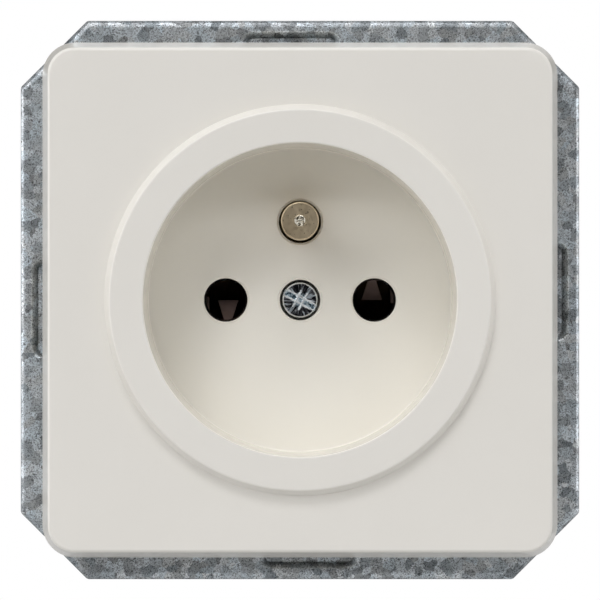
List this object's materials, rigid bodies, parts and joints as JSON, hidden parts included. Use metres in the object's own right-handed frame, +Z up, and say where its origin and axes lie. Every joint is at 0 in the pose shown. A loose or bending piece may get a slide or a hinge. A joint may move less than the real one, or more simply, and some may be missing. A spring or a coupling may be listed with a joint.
{
  "type": "type e wall socket",
  "caption": "Flush wall socket with a round dish, pin holes behind a rotary shutter and a fixed earth pin, on a steel support plate.",
  "frame": {"origin": "middle of the socket in the wall plane, which is the back face of the support plate's rim", "axes": "+X to the right seen from the front, +Y into the wall, +Z up; the front faces -Y"},
  "size_m": [0.071, 0.0406, 0.071],
  "materials": {
    "white_plastic": "off-white moulded plastic, satin",
    "galvanised_steel": "galvanised sheet with zinc spangle",
    "zinc_steel": "bright zinc plating",
    "nickel_brass": "dull nickel over brass",
    "black_plastic": "glossy black moulding",
    "brown_plastic": "brown moulding",
    "brass": "bright turned and cut brass",
    "bronze": "spring bronze strip",
    "spring_steel": "plain spring steel"
  },
  "bodies": {
    "socket": {"cover_plate": "white_plastic", "support_plate": "galvanised_steel", "cover_screw": "zinc_steel", "cover_nut": "zinc_steel", "earth_pin": "nickel_brass", "earth_strip": "brass", "insert_lid": "black_plastic", "insert_base": "black_plastic", "shutter_spring": "spring_steel", "live_contact": "bronze", "neutral_contact": "bronze", "live_contact_spring": "spring_steel", "neutral_contact_spring": "spring_steel", "live_terminal": "brass", "neutral_terminal": "brass", "earth_terminal": "brass", "live_terminal_screw": "zinc_steel", "neutral_terminal_screw": "zinc_steel", "earth_terminal_screw": "zinc_steel", "insert_rivets": "zinc_steel", "support_rivets": "zinc_steel"},
    "shutter_rotor": {"shutter": "brown_plastic"}
  },
  "joints": [
    {"name": "shutter_turn", "type": "hinge", "parent": "socket", "child": "shutter_rotor", "pos_m": [0, 0.0122, 0], "axis": [0, -1, 0], "range_deg": [0, 36], "stiffness_Nm_per_rad": 0.002, "springref_deg": -28.65, "deforming": ["shutter_spring"]}
  ]
}
